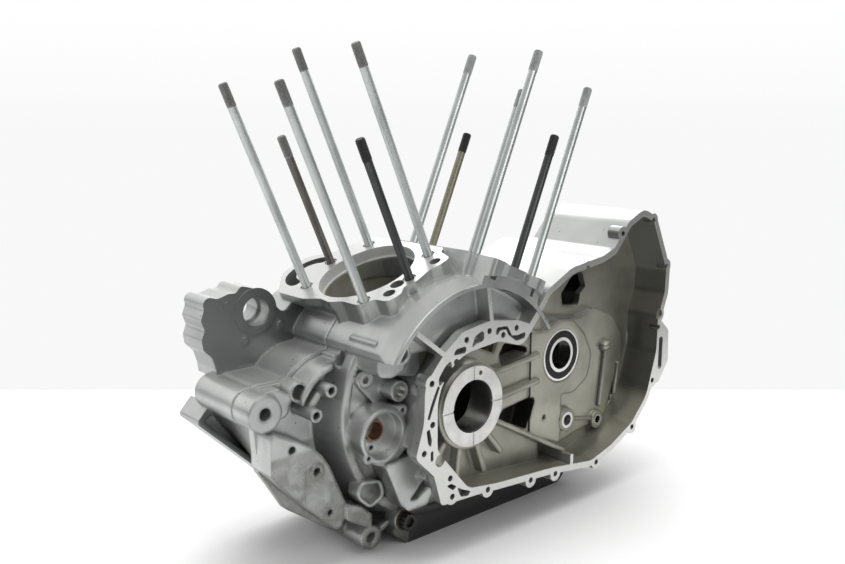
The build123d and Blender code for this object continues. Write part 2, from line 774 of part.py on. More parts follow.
def right_cuts():
    """Generator chamber, bores and sockets of the right-hand side."""
    race_seat = right_bearing_near + shaft_bearing_width
    out = right_face + past
    block_seat = right_wall + front_block_bore_length
    cuts = [
        slab(disc(0, 0, stator_room_radius) - disc(0, 0, main_boss_radius), stator_floor, out),
        rod(0, 0, main_boss_radius + past, right_boss_face, out),
        rod(0, 0, main_bore_radius + main_bush_wall, right_boss_near - past, right_boss_face + past),
        rod(front_block_x, front_block_z, front_block_bore, right_wall - 2 * past, block_seat),
        rod(front_block_x, front_block_z, front_block_throat, right_wall, out),
        slab(outline(rail_pocket_corners), right_wall - past, right_wall + rail_pocket_depth),
        rod(tube_x, tube_z, tube_hole_radius, tube_near, tube_far + past),
        rod(tube_x, tube_z, tube_sleeve_radius, tube_far - mount_sleeve_length, tube_far + past),
        rod(tube_x, tube_z, tube_nut_radius, tube_far, out),
        rod(mount_boss_x, mount_boss_z, mount_boss_hole, mount_boss_face, out),
        Pos(strainer_x, strainer_y, sump_bottom + strainer_recess / 2)
        * Cylinder(strainer_radius + strainer_gap, strainer_recess),
        Pos(strainer_x, strainer_y, sump_bottom) * Cylinder(strainer_hole_radius, 2 * deck_depth),
    ]
    for x, z in right_shaft_places:
        cuts.append(rod(x, z, race_outer_radius, right_bearing_near, out))
        cuts.append(rod(x, z, race_bore_radius, right_wall - past, race_seat))
    for x, z in bolt_places:
        cuts.append(rod(x, z, bolt_radius + bolt_gap, split - past, out))
        cuts.append(rod(x, z, bolt_flange_radius + bolt_head_room, bolt_seat(), out))
    screw_hole = 2 * (strainer_recess + strainer_screw_length)
    for x, y in strainer_screw_places():
        cuts.append(Pos(x, y, sump_bottom) * Cylinder(strainer_screw_radius, screw_hole))
    return cuts


def split_cuts():
    """Dowel holes across the joint face and the rear bolts' threads in the left half."""
    dowels = [rod(x, z, dowel_outer_radius, split - case_dowel_length / 2, split + case_dowel_length / 2)
              for x, z in case_dowel_places]
    thread_end = split - bolt_engagement - bolt_thread_relief
    threads = [rod(x, z, bolt_radius, thread_end, split + past) for x, z in rear_bolt_places]
    return dowels, threads


def strainer_screw_places():
    turn = 360 / strainer_screw_count
    angles = [math.radians(turn * (i + 0.5)) for i in range(strainer_screw_count)]
    return [(strainer_x + strainer_pitch_radius * math.cos(angle),
             strainer_y + strainer_pitch_radius * math.sin(angle)) for angle in angles]


def half(body, rooms, details, cuts, near, far):
    """One casting: the outside between two stations, less its hollows, with its inner details."""
    piece = body & block((-reach, reach), (-reach, reach), near, far)
    piece = piece.cut(*rooms)
    piece = piece.fuse(*details)
    return piece.cut(*cuts)


def studs(side, kind):
    """The studs of one cylinder and kind, each with its rolled thread at the top."""
    above = long_stud_length if kind == "long" else short_stud_length
    shank = long_shank_radius if kind == "long" else short_shank_radius
    seat = cylinder_plane(side, deck_height)
    made = []
    for u, v in stud_places(side, kind):
        spot = Pos(u, v)
        foot = extrude(seat * (spot * Circle(stud_thread_radius - seat_gap)), amount=-stud_depth)
        body = extrude(seat * (spot * Circle(shank)), amount=above - stud_thread_length)
        thread_plane = seat.offset(above - stud_thread_length)
        thread = extrude(thread_plane * (spot * Circle(stud_thread_radius)), amount=stud_thread_length)
        thread = chamfer(thread.faces().sort_by(Axis.Z)[-1].edges(), stud_chamfer)
        made.append(joined([foot, body, thread]))
    return made


def main_bush(near, far):
    return ring(0, 0, main_bore_radius + main_bush_wall - seat_gap, main_bore_radius, near, far)


def thrust_washer(near, groove_face):
    """Washer with oil grooves at the quarters of its running face and a hole for its pin."""
    washer = ring(0, 0, thrust_outer_radius, main_bore_radius, near, near + thrust_thickness)
    strip = Pos(thrust_outer_radius, 0) * Rectangle(thrust_outer_radius, oil_groove_width)
    grooves = [slab(Rot(0, 0, angle) * strip, groove_face - oil_groove_depth, groove_face + oil_groove_depth)
               for angle in (0, 90, 180, 270)]
    pin = rod(thrust_pin_x, thrust_pin_z, thrust_pin_radius, near - past, near + thrust_thickness + past)
    return washer.cut(*grooves, pin)


def bearing(x, z, near):
    """Outer race, inner race, balls and cage of a ball bearing that begins at a station."""
    far = near + shaft_bearing_width
    middle = (near + far) / 2
    pitch = (race_bore_radius + inner_race_outer_radius) / 2
    centre = Pos(x, middle, z) * Rot(90, 0, 0)
    track = centre * Torus(pitch, shaft_ball_radius + ball_gap)
    outer = ring(x, z, race_outer_radius - seat_gap, race_bore_radius, near, far) - track
    inner = ring(x, z, inner_race_outer_radius, shaft_bore_radius, near, far) - track
    turn = 360 / shaft_ball_count
    spots = [centre * Rot(0, 0, turn * (i + 0.5)) * Pos(pitch, 0, 0) for i in range(shaft_ball_count)]
    balls = [spot * Sphere(shaft_ball_radius) for spot in spots]
    cage = ring(x, z, pitch + cage_half_wall, pitch - cage_half_wall,
                middle - cage_half_width, middle + cage_half_width)
    pocket = Rot(0, 90, 0) * Cylinder(shaft_ball_radius + ball_gap, 4 * cage_half_wall)
    cage = cage.cut(*[spot * pocket for spot in spots])
    return outer, inner, balls, cage


def shaft_seal():
    """Seal disc between the races on the open side of the left bearing."""
    near = plateau_face + seal_setback
    return ring(shaft_x, shaft_z, race_bore_radius - seat_gap, inner_race_outer_radius + seat_gap,
                near, near + seal_thickness)


def socket_plug(x, z, radius, near, length):
    """Screwed plug with a hexagon socket."""
    hexagon = Pos(x, z) * RegularPolygon(gallery_socket / math.sqrt(3), 6)
    plug = rod(x, z, radius - seat_gap, near, near + length)
    return plug - slab(hexagon, near - past, near + socket_share * length)


def cup_plug(x, z, radius, near, length):
    """Pressed core plug, dished on its open side."""
    plug = rod(x, z, radius - seat_gap, near, near + length)
    return plug - rod(x, z, radius - core_plug_rim, near - past, near + length / 2)


def case_bolt(x, z):
    """Long flanged bolt from its recess in the right-hand face into the left half."""
    seat = bolt_seat()
    shank = rod(x, z, bolt_radius - seat_gap, split - bolt_engagement, seat)
    flange = rod(x, z, bolt_flange_radius, seat, seat + bolt_flange_height)
    hexagon = Pos(x, z) * RegularPolygon(bolt_across_flats / math.sqrt(3), 6)
    head = slab(hexagon, seat, seat + bolt_head_height)
    return joined([shank, flange, head])


def drain_plug():
    """Round fluted plug with a hexagon socket, screwed into its boss against a washer."""
    seat = drain_face - drain_washer_thickness
    near = seat - drain_head_height
    head = rod(drain_x, drain_z, drain_head_radius, near, seat)
    thread = rod(drain_x, drain_z, drain_thread_radius - seat_gap, seat, drain_face + drain_thread_length)
    hexagon = Pos(drain_x, drain_z) * RegularPolygon(drain_hexagon / math.sqrt(3), 6)
    turn = 360 / drain_flute_count
    rims = [Pos(drain_x, drain_z) * Rot(0, 0, turn * i) * Pos(drain_head_radius, 0)
            for i in range(drain_flute_count)]
    flutes = [slab(rim * Circle(drain_flute_radius), near - past, seat) for rim in rims]
    return (head + thread).cut(slab(hexagon, near - past, near + drain_head_height / 2), *flutes)


def strainer_cover():
    """Small round cover sunk in the underside of the sump."""
    base = sump_bottom + strainer_recess - strainer_thickness
    middle = base + strainer_thickness / 2
    plate = Pos(strainer_x, strainer_y, middle) * Cylinder(strainer_radius, strainer_thickness)
    holes = [Pos(x, y, middle) * Cylinder(strainer_screw_radius + strainer_gap, strainer_recess)
             for x, y in strainer_screw_places()]
    return plate.cut(*holes)


def strainer_screws():
    base = sump_bottom + strainer_recess - strainer_thickness
    head_height = base - sump_bottom - strainer_gap
    made = []
    for x, y in strainer_screw_places():
        head = Pos(x, y, base - head_height / 2) * Cylinder(strainer_screw_head, head_height)
        shank = Pos(x, y, base + strainer_screw_length / 2)
        made.append(head + shank * Cylinder(strainer_screw_radius - seat_gap, strainer_screw_length))
    return made


def write(name, solids):
    """One STEP file for each node; several loose solids go into it as a group."""
    shape = solids[0] if len(solids) == 1 else Compound(children=solids)
    export_step(shape, f"parts/{name}.step")


def build():
    body = case_body()
    room = case_room()
    dowel_holes, bolt_threads = split_cuts()
    left = half(body, [room, primary_room()], chamber_details(),
                left_cuts() + flange_cuts() + seat_holes() + dowel_holes + bolt_threads, -reach, split)
    right_boss = rod(0, 0, main_boss_radius, right_boss_near, right_wall)
    strainer_boss = Pos(strainer_x, strainer_y, sump_bottom + strainer_recess + strainer_boss_height / 2) \
        * Cylinder(strainer_radius + strainer_boss_wall, strainer_boss_height)
    right = half(body, [room], [right_boss, strainer_boss],
                 right_cuts() + seat_holes() + dowel_holes, split, reach)
    write("left_crankcase_half", [left])
    write("right_crankcase_half", [right])
    for side, place in ((-1, "front"), (1, "rear")):
        write(f"{place}_long_studs", studs(side, "long"))
        write(f"{place}_short_studs", studs(side, "short"))
    boss_face = thrust_face + thrust_thickness
    write("left_main_bush", [main_bush(boss_face, chamber_wall + wall)])
    write("left_thrust_washer", [thrust_washer(thrust_face, thrust_face)])
    write("right_main_bush", [main_bush(right_boss_near, right_boss_face)])
    write("right_thrust_washer", [thrust_washer(right_boss_near - thrust_thickness,
                                                right_boss_near - thrust_thickness)])
    outer, inner, balls, cage = bearing(shaft_x, shaft_z, plateau_face)
    write("main_shaft_outer_race", [outer])
    write("main_shaft_inner_race", [inner])
    write("main_shaft_balls", balls)
    write("main_shaft_cage", [cage])
    write("main_shaft_seal", [shaft_seal()])
    right_sets = [bearing(x, z, right_bearing_near) for x, z in right_shaft_places]
    write("right_shaft_outer_races", [found[0] for found in right_sets])
    write("right_shaft_inner_races", [found[1] for found in right_sets])
    write("right_shaft_balls", [ball for found in right_sets for ball in found[2]])
    write("right_shaft_cages", [found[3] for found in right_sets])
    write("drive_shaft_sleeve", [ring(drive_x, drive_z, drive_sleeve_radius - seat_gap, drive_bore_radius,
                                      plateau_face - past, plateau_face - past + sleeve_length)])
    write("shift_drum_sleeve", [ring(drum_x, drum_z, drum_sleeve_radius - seat_gap, drum_bore_radius,
                                     drum_sleeve_face, drum_sleeve_face + sleeve_length)])
    bush_far = pump_face + pump_well_depth + pump_bush_length
    write("pump_bush", [ring(pump_bush_x, pump_bush_z, pump_bush_radius - seat_gap, pump_bore_radius,
                             bush_far - pump_bush_length - pump_bush_proud, bush_far)])
    write("gallery_plug", [socket_plug(gallery_plug_x, gallery_plug_z, gallery_plug_radius,
                                       gallery_plug_face, plug_length)])
    write("core_plug", [cup_plug(core_plug_x, core_plug_z, core_plug_radius, core_plug_face, plug_length)])
    write("case_dowels", [ring(x, z, dowel_outer_radius - seat_gap, dowel_bore_radius,
                               split - case_dowel_length / 2, split + case_dowel_length / 2)
                          for x, z in case_dowel_places])
    write("case_bolts", [case_bolt(x, z) for x, z in bolt_places])
    write("drain_plug", [drain_plug()])
    write("drain_washer", [ring(drain_x, drain_z, drain_washer_radius, drain_thread_radius,
                                drain_face - drain_washer_thickness, drain_face)])
    write("strainer_cover", [strainer_cover()])
    write("strainer_screws", strainer_screws())
    write("mount_sleeve", [ring(tube_x, tube_z, tube_sleeve_radius - seat_gap, tube_hole_radius,
                                tube_far - mount_sleeve_length, tube_far)])


os.makedirs("parts", exist_ok=True)
build()
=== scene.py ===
import bmesh
import bpy
import math
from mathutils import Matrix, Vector


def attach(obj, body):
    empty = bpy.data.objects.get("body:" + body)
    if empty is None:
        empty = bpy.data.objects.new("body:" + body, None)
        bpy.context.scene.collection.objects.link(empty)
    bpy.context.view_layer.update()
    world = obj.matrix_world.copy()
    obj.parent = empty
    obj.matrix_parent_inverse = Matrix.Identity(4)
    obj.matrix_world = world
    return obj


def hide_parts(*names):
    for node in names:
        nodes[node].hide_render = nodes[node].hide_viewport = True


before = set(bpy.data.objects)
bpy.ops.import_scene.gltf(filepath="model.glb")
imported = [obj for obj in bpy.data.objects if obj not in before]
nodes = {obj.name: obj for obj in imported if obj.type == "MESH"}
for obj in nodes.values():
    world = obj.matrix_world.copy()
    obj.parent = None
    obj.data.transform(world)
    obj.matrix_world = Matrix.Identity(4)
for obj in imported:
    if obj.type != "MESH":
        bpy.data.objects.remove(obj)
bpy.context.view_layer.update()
print("frame loaded:", len(nodes), "pieces")

# Everything is in metres, in the frame of the case: X rearward, Y to the right, Z up.


def addObject(name, data):
    item = bpy.data.objects.new(name, data)
    bpy.context.scene.collection.objects.link(item)
    return item


def aimFrom(item, spot, aim):
    # stand at spot and face aim
    item.location = spot
    item.rotation_euler = (Vector(aim) - Vector(spot)).to_track_quat("-Z", "Y").to_euler()


# Camera, standing in front and to the left of the case
cameraSet = {
    "place": (-0.6205, -0.6252, 0.2927),
    "tiltDown": 10.49,  # degrees
    "turn": 41.36,  # degrees from Y towards X
    "lens": 38.08,  # mm
    "sensor": 36.0,  # mm
    "nearest": 0.01,
    "farthest": 50,
}


def makeCamera(values):
    data = bpy.data.cameras.new("camera")
    data.sensor_width = values["sensor"]
    data.lens = values["lens"]
    data.clip_start = values["nearest"]
    data.clip_end = values["farthest"]
    camera = addObject("camera", data)
    camera.location = values["place"]
    tilt = math.radians(90 - values["tiltDown"])
    camera.rotation_euler = (tilt, 0, -math.radians(values["turn"]))
    bpy.context.scene.camera = camera


makeCamera(cameraSet)
print("camera in place")


# Small helpers for node materials
def newMaterial(name):
    material = bpy.data.materials.new(name)
    material.use_nodes = True
    tree = material.node_tree
    return material, tree, tree.nodes["Principled BSDF"]


def addNode(tree, kind, **values):
    node = tree.nodes.new(kind)
    for key, value in values.items():
        setattr(node, key, value)
    return node


def connect(tree, source, target):
    tree.links.new(source, target)


def feed(tree, sockets, values):
    # each value is a number, a colour or another node's output
    for socket, value in zip(sockets, values):
        if isinstance(value, (int, float)):
            socket.default_value = value
        elif isinstance(value, tuple):
            socket.default_value = (*value, 1)
        else:
            connect(tree, value, socket)


def mathNode(tree, operation, first, second=0.0, third=0.0, clamp=False):
    node = addNode(tree, "ShaderNodeMath", operation=operation, use_clamp=clamp)
    feed(tree, node.inputs, (first, second, third))
    return node.outputs[0]


def ramp(tree, value, stops):
    # grey levels at the given places
    node = addNode(tree, "ShaderNodeValToRGB")
    marks = node.color_ramp.elements
    while len(marks) < len(stops):
        marks.new(0.5)
    for mark, (spot, tone) in zip(marks, stops):
        mark.position = spot
        mark.color = (tone, tone, tone, 1)
    connect(tree, value, node.inputs[0])
    return node.outputs[0]


def mixColor(tree, amount, first, second):
    node = addNode(tree, "ShaderNodeMix", data_type="RGBA")
    feed(tree, (node.inputs[0], node.inputs[6], node.inputs[7]), (amount, first, second))
    return node.outputs[2]


def blendNormals(tree, amount, first, second):
    node = addNode(tree, "ShaderNodeMix", data_type="VECTOR")
    feed(tree, (node.inputs[0], node.inputs[4], node.inputs[5]), (amount, first, second))
    return node.outputs[1]


def noise(tree, where, scale, detail, roughness, distortion=0.0):
    node = addNode(tree, "ShaderNodeTexNoise")
    node.inputs["Scale"].default_value = scale
    node.inputs["Detail"].default_value = detail
    node.inputs["Roughness"].default_value = roughness
    node.inputs["Distortion"].default_value = distortion
    connect(tree, where, node.inputs["Vector"])
    return node.outputs["Fac"]


def bump(tree, height, normal, strength, distance):
    node = addNode(tree, "ShaderNodeBump")
    node.inputs["Strength"].default_value = strength
    node.inputs["Distance"].default_value = distance
    connect(tree, height, node.inputs["Height"])
    connect(tree, normal, node.inputs["Normal"])
    return node.outputs[0]


def roundedNormal(tree, radius, samples):
    node = addNode(tree, "ShaderNodeBevel", samples=samples)
    node.inputs["Radius"].default_value = radius
    return node.outputs[0]


def place(tree):
    return addNode(tree, "ShaderNodeTexCoord").outputs["Object"]


def splitPlace(tree):
    node = addNode(tree, "ShaderNodeSeparateXYZ")
    connect(tree, place(tree), node.inputs[0])
    return node.outputs


def trueNormal(tree):
    node = addNode(tree, "ShaderNodeSeparateXYZ")
    connect(tree, addNode(tree, "ShaderNodeNewGeometry").outputs["True Normal"], node.inputs[0])
    return node.outputs


def level(tree, value, low, high):
    # 0 at low, 1 at high, and no further beyond them
    node = addNode(tree, "ShaderNodeMapRange", clamp=True)
    connect(tree, value, node.inputs["Value"])
    node.inputs["From Min"].default_value = low
    node.inputs["From Max"].default_value = high
    return node.outputs[0]


def between(tree, value, low, high, fade):
    # 1 inside low..high, falling to 0 over the fade
    rise = level(tree, value, low - fade, low)
    fall = level(tree, value, high + fade, high)
    return mathNode(tree, "MULTIPLY", rise, fall)


def product(tree, *factors):
    total = factors[0]
    for factor in factors[1:]:
        total = mathNode(tree, "MULTIPLY", total, factor)
    return total


def largest(tree, *factors):
    total = factors[0]
    for factor in factors[1:]:
        total = mathNode(tree, "MAXIMUM", total, factor)
    return total


def inverse(tree, value):
    return mathNode(tree, "SUBTRACT", 1.0, value)


def squareSum(tree, first, second):
    return mathNode(tree, "MULTIPLY_ADD", first, first, mathNode(tree, "MULTIPLY", second, second))


def along(tree, parts, direction):
    # distance of a point, or the part of a normal, along a fixed direction
    total = 0.0
    for part, share in zip(parts, direction):
        if share:
            total = mathNode(tree, "MULTIPLY_ADD", part, float(share), total)
    return total


def within(tree, point, limits):
    # 1 inside the ranges given for its axes
    return product(tree, *[between(tree, point["xyz".index(axis)], *limits[axis]) for axis in limits])


def crevices(tree, reach):
    # 1 in open places, towards 0 in corners and holes
    node = addNode(tree, "ShaderNodeAmbientOcclusion", samples=4, only_local=False)
    node.inputs["Distance"].default_value = reach
    return node.outputs["AO"]


def pits(tree, where, scale, edge):
    # small dark casting pits, well apart
    node = addNode(tree, "ShaderNodeTexVoronoi", feature="F1")
    node.inputs["Scale"].default_value = scale
    connect(tree, where, node.inputs["Vector"])
    return level(tree, node.outputs["Distance"], *edge)


# Finish of the castings. The places follow the solids; a range of three is low, high and fade.
castSet = {
    "grain": {"scale": 1500, "detail": 3, "roughness": 0.6},
    "cloud": {"scale": 14, "detail": 4, "roughness": 0.55},
    "stain": {"scale": 45, "detail": 5, "roughness": 0.6, "distortion": 0.6},
    "grainBump": {"strength": 0.25, "distance": 0.0003},
    "castRounding": {"radius": 0.005, "samples": 6},  # in the shading alone
    "edgeRounding": {"radius": 0.0005, "samples": 2},
    "pits": {"scale": 85, "edge": (0.075, 0.045)},
    "creviceReach": 0.012,
    # machined faces: how squarely they face, then their stations and heights
    "square": 0.999,
    "coverFace": (-0.0062, -0.0058, 1e-4),
    "coverEdges": (-0.02, -0.004, 0.001),
    "seatTilt": 23.5,
    "seatY": (0.101, 0.066),
    "seatFace": (0.1473, 0.1477, 1e-4),
    "seatEdges": (0.1455, 1.0, 0.001),
    "boreRadius": 0.053,
    "boreBottom": 0.1345,
    "throat": (0.05, 0.1345, 2e-4),
    "blockFace": (0.1555, 0.1573, 1e-4),
    "blockRear": -0.10,
    # primary chamber, in two bays with one corner cut off
    "chamber": {"y": (-0.0056, 0.047, 4e-4), "x": (-0.058, 0.327, 5e-4), "z": (-0.107, 0.177, 5e-4)},
    "frontBay": {"x": (-0.057, 0.09, 1e-3), "z": (-0.10, 0.066, 1e-3)},
    "rearBay": {"x": (0.09, 0.328, 1e-3), "z": (-0.108, 0.178, 1e-3)},
    "cornerLine": -0.103,
    "chamberMiddle": (0.20, 0.025),
    "facingAway": -0.03,
    "uprightWall": 0.5,
    # crank room and the windows beside the main bearing
    "roomRadius": 0.1185,
    "roomDepth": (0.0575, 0.1495, 3e-4),
    "roomTop": (0.045, 0.065),
    "windowWall": (0.0225, 0.160, 5e-4),
    "windowBack": (0.0478, 0.160, 5e-4),
    "window": {"x": (0.060, 0.125, 1e-3), "z": (-0.060, 0.060, 1e-3)},
    "windowFacing": -0.8,
    # sump, and the set-back faces at the lower front
    "sumpDrop": (-0.100, -0.122),
    "sumpFront": (-0.075, -0.060),
    "sumpLeft": 0.012,
    "apron": {"y": (0.045, 0.090, 1e-3), "x": (-0.23, -0.045, 2e-3), "z": (-0.16, -0.026, 4e-3)},
    "apronFacing": -0.9,
    # how far a face looks up or down, and how much painted light on tops and painted shade on walls and
    # undersides changes its colour
    "upward": (0.25, 0.85),
    "downward": (-0.05, -0.35),
    "wallFacing": 0.6,
    "wallShadeShare": 0.85,
    "oliveLitTopShare": 0.7,
    "castLitTopShare": 0.6,
    "undersideShare": 0.7,
    # grey levels of the patterns
    "castStops": ((0.35, 0), (0.68, 1)),
    "stainStops": ((0.60, 0), (0.78, 0.35)),
    "oliveStops": ((0.3, 0), (0.7, 1)),
    "apronStops": ((0.35, 0.45), (0.62, 0.95)),
    "shadeAndGrimeEdge": (0.50, 0.05),
    "shadeAndGrimeStain": 0.6,
    "shadeAndGrimeBase": 0.35,
    # gloss: closed-in places and the bores show more of their own colour
    "roughBase": 0.22,
    "roughGrain": 0.14,
    "roughCloud": 0.08,
    "roughMachined": -0.04,
    "metalBase": 0.45,
    "metalEdge": (0.2, 0.9),
    "metalOpen": 0.34,
    "metalBore": -0.40,
    "colors": {
        "cast": (0.56, 0.57, 0.56),
        "castShade": (0.38, 0.39, 0.385),
        "castLitTop": (0.63, 0.635, 0.625),
        "stain": (0.25, 0.255, 0.25),
        "speck": (0.03, 0.03, 0.03),
        "shadeAndGrime": (0.05, 0.05, 0.046),
        "machined": (0.66, 0.665, 0.655),
        "flange": (0.62, 0.625, 0.60),
        "bore": (0.74, 0.745, 0.73),
        "olive": (0.40, 0.392, 0.335),
        "oliveDark": (0.22, 0.216, 0.18),
        "oliveLitTop": (0.66, 0.64, 0.55),
        "chamberWallShade": (0.13, 0.132, 0.128),
        "roomShade": (0.045, 0.045, 0.04),
        "blockShade": (0.17, 0.18, 0.175),
        "sumpShade": (0.06, 0.062, 0.06),
        "apronShade": (0.20, 0.202, 0.185),
        "underside": (0.20, 0.205, 0.20),
    },
}


def facingMiddle(tree, point, normal, values):
    # 0 on upright walls that face away from the middle of the chamber, 1 elsewhere
    toX = mathNode(tree, "SUBTRACT", values["chamberMiddle"][0], point[0])
    toZ = mathNode(tree, "SUBTRACT", values["chamberMiddle"][1], point[2])
    facing = mathNode(tree, "MULTIPLY_ADD", normal[0], toX, mathNode(tree, "MULTIPLY", normal[2], toZ))
    upright = mathNode(tree, "LESS_THAN", mathNode(tree, "ABSOLUTE", normal[1]), values["uprightWall"])
    outward = product(tree, upright, mathNode(tree, "LESS_THAN", facing, values["facingAway"]))
    return inverse(tree, outward)


def chamberMask(tree, point, normal, values):
    # oil-stained floor and walls of the primary chamber
    line = mathNode(tree, "ADD", point[0], point[2])
    corner = mathNode(tree, "GREATER_THAN", line, values["cornerLine"])
    bays = largest(tree, within(tree, point, values["frontBay"]), within(tree, point, values["rearBay"]))
    inside = product(tree, within(tree, point, values["chamber"]), corner, bays)
    return product(tree, inside, facingMiddle(tree, point, normal, values))


def cylinderMasks(tree, point, normal, values):
    # of both cylinders: seats, the edges round them, counterbores, and the throats below those
    tilt = math.radians(values["seatTilt"])
    seats, edges, bores, throats = [], [], [], []
    for side, seatY in zip((-1, 1), values["seatY"]):
        up = (side * math.sin(tilt), 0, math.cos(tilt))
        across = (math.cos(tilt), 0, -side * math.sin(tilt))
        height = along(tree, point, up)
        facing = mathNode(tree, "GREATER_THAN", along(tree, normal, up), values["square"])
        seats.append(product(tree, facing, between(tree, height, *values["seatFace"])))
        edges.append(between(tree, height, *values["seatEdges"]))
        u = along(tree, point, across)
        v = mathNode(tree, "SUBTRACT", point[1], seatY)
        radius = mathNode(tree, "SQRT", squareSum(tree, u, v))
        inner = mathNode(tree, "LESS_THAN", radius, values["boreRadius"])
        bores.append(product(tree, inner, mathNode(tree, "GREATER_THAN", height, values["boreBottom"])))
        throats.append(product(tree, inner, between(tree, height, *values["throat"])))
    return seats, edges, bores, throats


def roomMasks(tree, point, normal, values):
    # the top of the crank room, and what is dark: the rest of it and the windows
    axisSquared = squareSum(tree, point[0], point[2])
    room = product(tree, mathNode(tree, "LESS_THAN", axisSquared, values["roomRadius"] ** 2),
                   between(tree, point[1], *values["roomDepth"]))
    high = level(tree, point[2], *values["roomTop"])
    farWall = product(tree, mathNode(tree, "LESS_THAN", normal[0], values["windowFacing"]),
                      between(tree, point[1], *values["windowWall"]))
    behind = between(tree, point[1], *values["windowBack"])
    window = product(tree, largest(tree, farWall, behind), within(tree, point, values["window"]))
    dark = largest(tree, product(tree, room, inverse(tree, high)), window)
    return product(tree, room, high), dark


def castAlloy(values):
    material, tree, shader = newMaterial("castAlloy")
    colors = values["colors"]
    point = splitPlace(tree)
    normal = trueNormal(tree)
    where = place(tree)
    fine = noise(tree, where, **values["grain"])
    cloud = noise(tree, where, **values["cloud"])
    stain = noise(tree, where, **values["stain"])
    openness = crevices(tree, values["creviceReach"])

    # where each finish lies
    facingLeft = mathNode(tree, "LESS_THAN", normal[1], -values["square"])
    coverFace = product(tree, facingLeft, between(tree, point[1], *values["coverFace"]))
    seats, edges, bores, throats = cylinderMasks(tree, point, normal, values)
    crisp = largest(tree, between(tree, point[1], *values["coverEdges"]), *edges)
    machined = largest(tree, coverFace, *seats, *bores)
    blockFace = product(tree, facingLeft, between(tree, point[1], *values["blockFace"]),
                        mathNode(tree, "LESS_THAN", point[0], values["blockRear"]))
    roomTop, room = roomMasks(tree, point, normal, values)
    inside = largest(tree, chamberMask(tree, point, normal, values), *throats, roomTop)
    rightward = mathNode(tree, "GREATER_THAN", point[1], values["sumpLeft"])
    sump = product(tree, level(tree, point[2], *values["sumpDrop"]),
                   level(tree, point[0], *values["sumpFront"]), rightward)
    apron = product(tree, mathNode(tree, "LESS_THAN", normal[1], values["apronFacing"]),
                    within(tree, point, values["apron"]))
    upward = level(tree, normal[2], *values["upward"])
    downward = level(tree, normal[2], *values["downward"])
    sideways = mathNode(tree, "LESS_THAN", mathNode(tree, "ABSOLUTE", normal[1]), values["wallFacing"])
    wall = product(tree, sideways, inverse(tree, upward))

    # bare cast metal, with painted light on the tops and small dark pits
    cast = mixColor(tree, ramp(tree, cloud, values["castStops"]), colors["castShade"], colors["cast"])
    cast = mixColor(tree, ramp(tree, stain, values["stainStops"]), cast, colors["stain"])
    cast = mixColor(tree, product(tree, upward, values["castLitTopShare"]), cast, colors["castLitTop"])
    cast = mixColor(tree, pits(tree, where, **values["pits"]), cast, colors["speck"])
    # oily metal, with painted shade on the walls and painted light on the floor and the ledges
    olive = mixColor(tree, ramp(tree, cloud, values["oliveStops"]), colors["oliveDark"], colors["olive"])
    olive = mixColor(tree, product(tree, wall, values["wallShadeShare"]), olive, colors["chamberWallShade"])
    olive = mixColor(tree, product(tree, upward, values["oliveLitTopShare"]), olive, colors["oliveLitTop"])

    color = mixColor(tree, inside, cast, olive)
    color = mixColor(tree, room, color, colors["roomShade"])
    color = mixColor(tree, blockFace, color, colors["blockShade"])
    color = mixColor(tree, sump, color, colors["sumpShade"])
    blotch = ramp(tree, stain, values["apronStops"])
    color = mixColor(tree, product(tree, apron, blotch), color, colors["apronShade"])
    # painted shade on faces that look down
    color = mixColor(tree, product(tree, downward, values["undersideShare"]), color, colors["underside"])
    # painted shade with grime, in patches, darkening corners and holes
    patches = mathNode(tree, "MULTIPLY_ADD", stain, values["shadeAndGrimeStain"], values["shadeAndGrimeBase"])
    shadeAndGrime = product(tree, level(tree, openness, *values["shadeAndGrimeEdge"]), patches)
    color = mixColor(tree, shadeAndGrime, color, colors["shadeAndGrime"])
    color = mixColor(tree, machined, color, colors["machined"])
    color = mixColor(tree, largest(tree, *bores), color, colors["bore"])
    color = mixColor(tree, coverFace, color, colors["flange"])
    connect(tree, color, shader.inputs["Base Color"])

    rough = mathNode(tree, "MULTIPLY_ADD", fine, values["roughGrain"], values["roughBase"])
    rough = mathNode(tree, "MULTIPLY_ADD", cloud, values["roughCloud"], rough)
    rough = mathNode(tree, "MULTIPLY_ADD", machined, values["roughMachined"], rough)
    connect(tree, rough, shader.inputs["Roughness"])
    shiny = level(tree, openness, *values["metalEdge"])
    metal = mathNode(tree, "MULTIPLY_ADD", shiny, values["metalOpen"], values["metalBase"])
    hollow = largest(tree, *bores, *throats)
    metal = mathNode(tree, "MULTIPLY_ADD", hollow, values["metalBore"], metal, clamp=True)
    connect(tree, metal, shader.inputs["Metallic"])
    softened = blendNormals(tree, crisp, roundedNormal(tree, **values["castRounding"]),
                            roundedNormal(tree, **values["edgeRounding"]))
    connect(tree, bump(tree, fine, softened, **values["grainBump"]), shader.inputs["Normal"])
    return material


